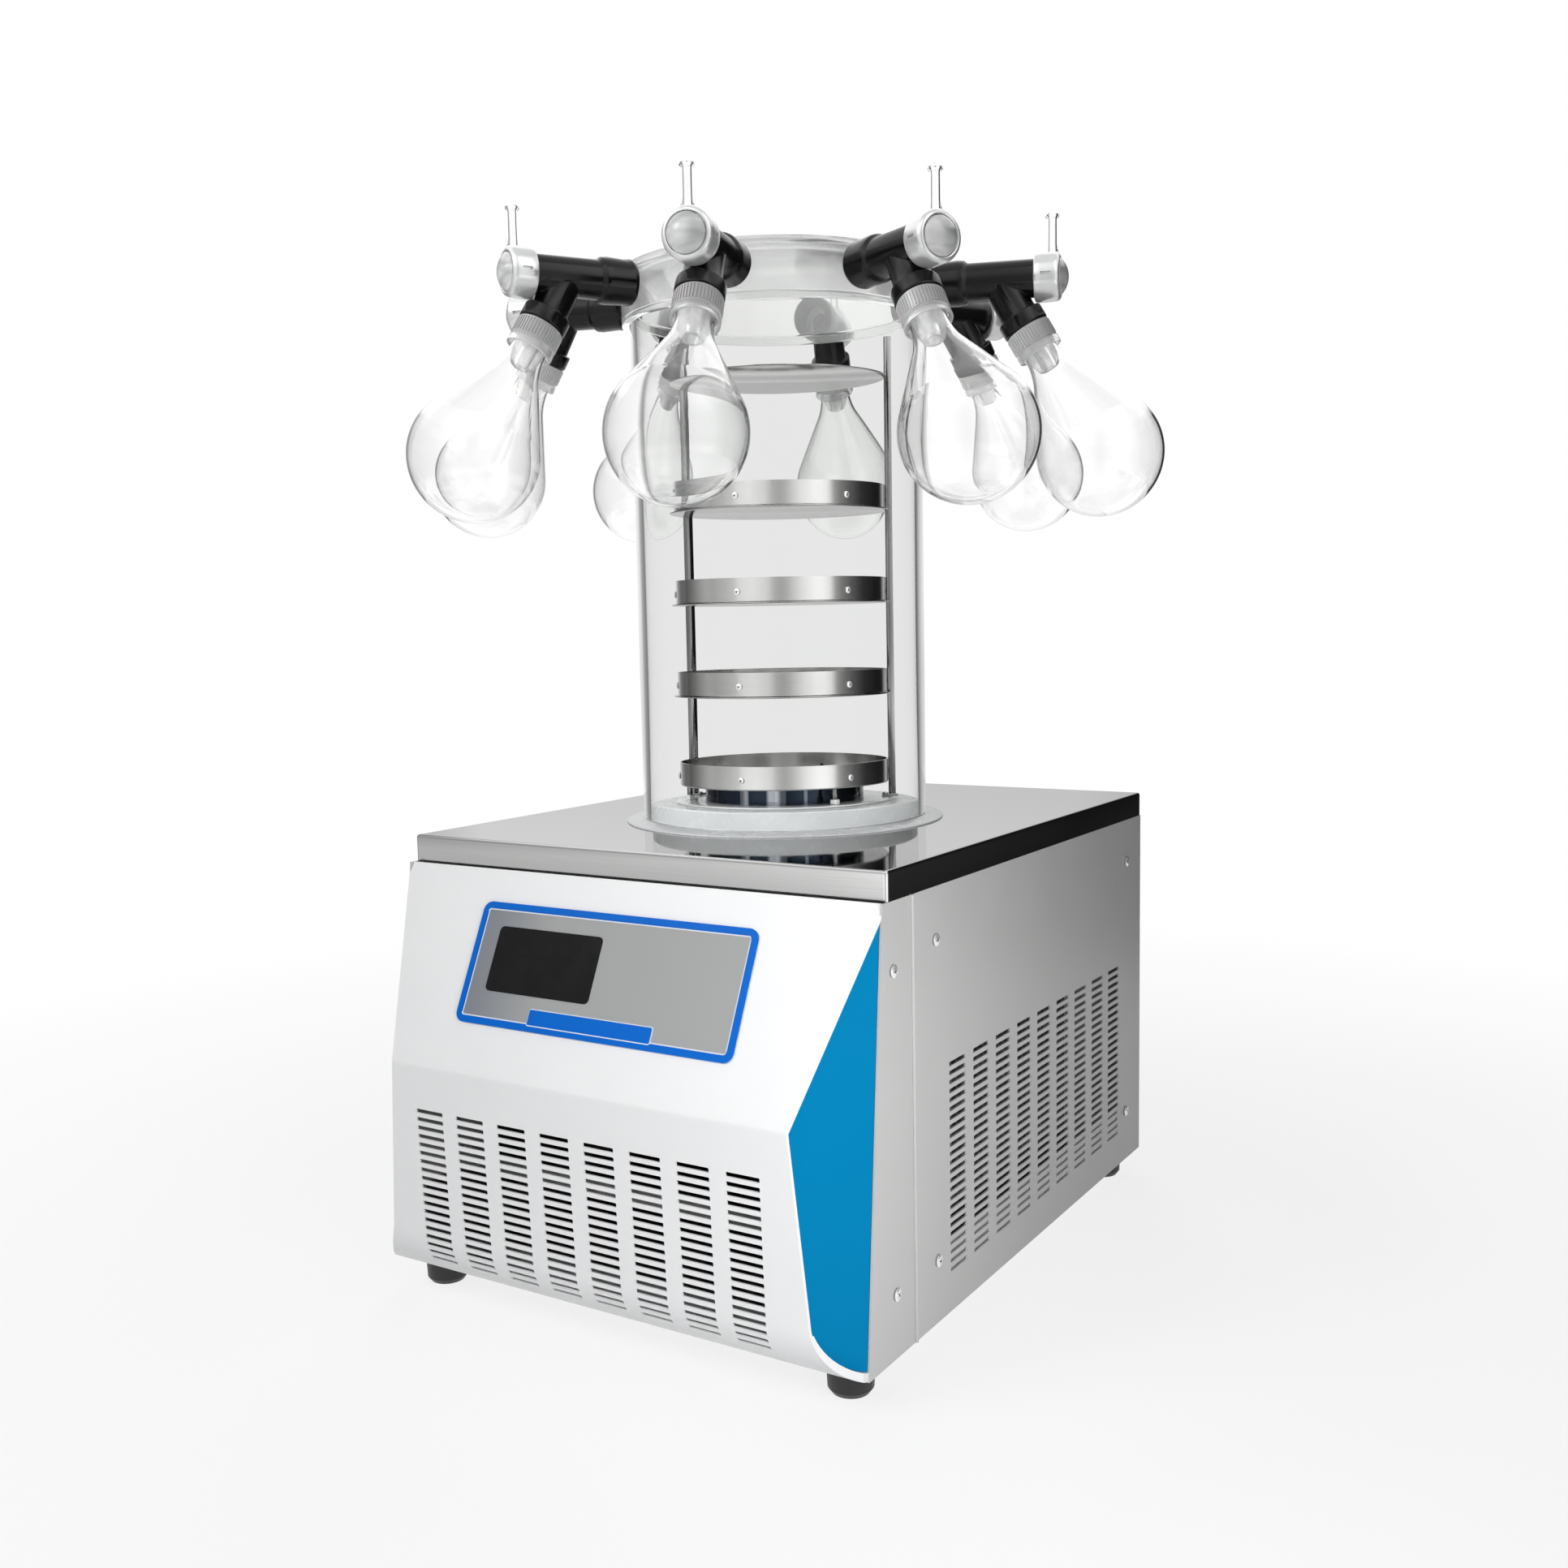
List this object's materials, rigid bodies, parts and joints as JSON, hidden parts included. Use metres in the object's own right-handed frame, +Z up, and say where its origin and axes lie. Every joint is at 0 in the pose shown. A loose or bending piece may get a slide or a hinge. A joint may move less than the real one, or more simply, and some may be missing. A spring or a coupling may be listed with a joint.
{
  "type": "freeze dryer",
  "caption": "Benchtop laboratory freeze dryer: vented cabinet with cold trap, clear drying chamber with tray rack, and flask valves round its collar.",
  "frame": {"origin": "on the floor under the vertical axis of the drying chamber", "axes": "+Z up, +Y towards the back of the cabinet, -Y towards the control panel, +X to the right seen from the front"},
  "size_m": [0.63, 0.63, 0.878],
  "materials": {
    "galvanised_steel": "satin",
    "foot_rubber": "matte",
    "grey_paint": "satin powder coat",
    "white_paint": "satin powder coat",
    "blue_paint": "satin paint",
    "polished_steel": "polished stainless steel",
    "screw_chrome": "polished",
    "overlay_film": "printed film with a blue border",
    "screen_glass": "dark glass",
    "trap_steel": "polished stainless steel",
    "black_paint": "satin",
    "fin_aluminium": "satin",
    "black_plastic": "matte",
    "red_plastic": "gloss",
    "brass": "satin",
    "white_silicone": "satin",
    "clear_acrylic": "clear",
    "frosted_acrylic": "milky, satin",
    "rack_steel": "polished stainless steel",
    "grey_plastic": "satin",
    "black_rubber": "satin moulded rubber",
    "white_plastic": "translucent",
    "flask_glass": "clear"
  },
  "bodies": {
    "machine": {"base_pan": "galvanised_steel", "feet": "foot_rubber", "front_frame": "grey_paint", "front_panel": "white_paint", "cheeks": "blue_paint", "side_panel_left": "grey_paint", "side_panel_right": "grey_paint", "back_panel": "grey_paint", "top_plate": "polished_steel", "panel_screws": "screw_chrome", "control_overlay": "overlay_film", "touch_screen": "screen_glass", "cold_trap": "trap_steel", "trap_coil": "trap_steel", "compressor": "black_paint", "condenser": "fin_aluminium", "fan_shroud": "black_paint", "power_inlet": "black_plastic", "vacuum_port": "trap_steel", "drain_valve": "brass", "base_gasket": "white_silicone", "chamber_tube": "clear_acrylic", "valve_collar": "frosted_acrylic", "lid": "frosted_acrylic", "rack_base": "rack_steel", "rack_frame": "rack_steel", "tray_1": "rack_steel", "tray_2": "rack_steel", "tray_3": "rack_steel", "tray_4": "rack_steel", "tray_screws": "screw_chrome", "flask_adaptors": "grey_plastic", "valve_body_1": "black_rubber", "valve_body_2": "black_rubber", "valve_body_3": "black_rubber", "valve_body_4": "black_rubber", "valve_body_5": "black_rubber", "valve_body_6": "black_rubber", "valve_body_7": "black_rubber", "valve_body_8": "black_rubber", "flask_1": "flask_glass", "flask_2": "flask_glass", "flask_3": "flask_glass", "flask_4": "flask_glass", "flask_5": "flask_glass", "flask_6": "flask_glass", "flask_7": "flask_glass", "flask_8": "flask_glass"},
    "fan": {"fan_rotor": "black_plastic"},
    "rocker": {"power_switch": "red_plastic"},
    "drain_handle": {"drain_knob": "black_plastic"},
    "knob_1": {"valve_knob_1": "white_plastic"},
    "knob_2": {"valve_knob_2": "white_plastic"},
    "knob_3": {"valve_knob_3": "white_plastic"},
    "knob_4": {"valve_knob_4": "white_plastic"},
    "knob_5": {"valve_knob_5": "white_plastic"},
    "knob_6": {"valve_knob_6": "white_plastic"},
    "knob_7": {"valve_knob_7": "white_plastic"},
    "knob_8": {"valve_knob_8": "white_plastic"}
  },
  "joints": [
    {"name": "knob_1_turn", "type": "hinge", "parent": "machine", "child": "knob_1", "pos_m": [0.2123, 0.06491, 0.828], "axis": [0.9563, 0.2924, 0], "range_deg": [-90, 90]},
    {"name": "knob_2_turn", "type": "hinge", "parent": "machine", "child": "knob_2", "pos_m": [0.10422, 0.19601, 0.828], "axis": [0.4695, 0.8829, 0], "range_deg": [-90, 90]},
    {"name": "knob_3_turn", "type": "hinge", "parent": "machine", "child": "knob_3", "pos_m": [-0.06491, 0.2123, 0.828], "axis": [-0.2924, 0.9563, 0], "range_deg": [-90, 90]},
    {"name": "knob_4_turn", "type": "hinge", "parent": "machine", "child": "knob_4", "pos_m": [-0.19601, 0.10422, 0.828], "axis": [-0.8829, 0.4695, 0], "range_deg": [-90, 90]},
    {"name": "knob_5_turn", "type": "hinge", "parent": "machine", "child": "knob_5", "pos_m": [-0.2123, -0.06491, 0.828], "axis": [-0.9563, -0.2924, 0], "range_deg": [-90, 90]},
    {"name": "knob_6_turn", "type": "hinge", "parent": "machine", "child": "knob_6", "pos_m": [-0.10422, -0.19601, 0.828], "axis": [-0.4695, -0.8829, 0], "range_deg": [-90, 90]},
    {"name": "knob_7_turn", "type": "hinge", "parent": "machine", "child": "knob_7", "pos_m": [0.06491, -0.2123, 0.828], "axis": [0.2924, -0.9563, 0], "range_deg": [-90, 90]},
    {"name": "knob_8_turn", "type": "hinge", "parent": "machine", "child": "knob_8", "pos_m": [0.19601, -0.10422, 0.828], "axis": [0.8829, -0.4695, 0], "range_deg": [-90, 90]},
    {"name": "fan_spin", "type": "hinge", "parent": "machine", "child": "fan", "pos_m": [0.15, 0.02, 0.145], "axis": [1, 0, 0], "continuous": true},
    {"name": "switch_rock", "type": "hinge", "parent": "machine", "child": "rocker", "pos_m": [-0.15, 0.291, 0.089], "axis": [-1, 0, 0], "range_deg": [0, 22]},
    {"name": "drain_turn", "type": "hinge", "parent": "machine", "child": "drain_handle", "pos_m": [0.15, 0.3, 0.07], "axis": [0, 1, 0], "range_deg": [0, 90]}
  ]
}
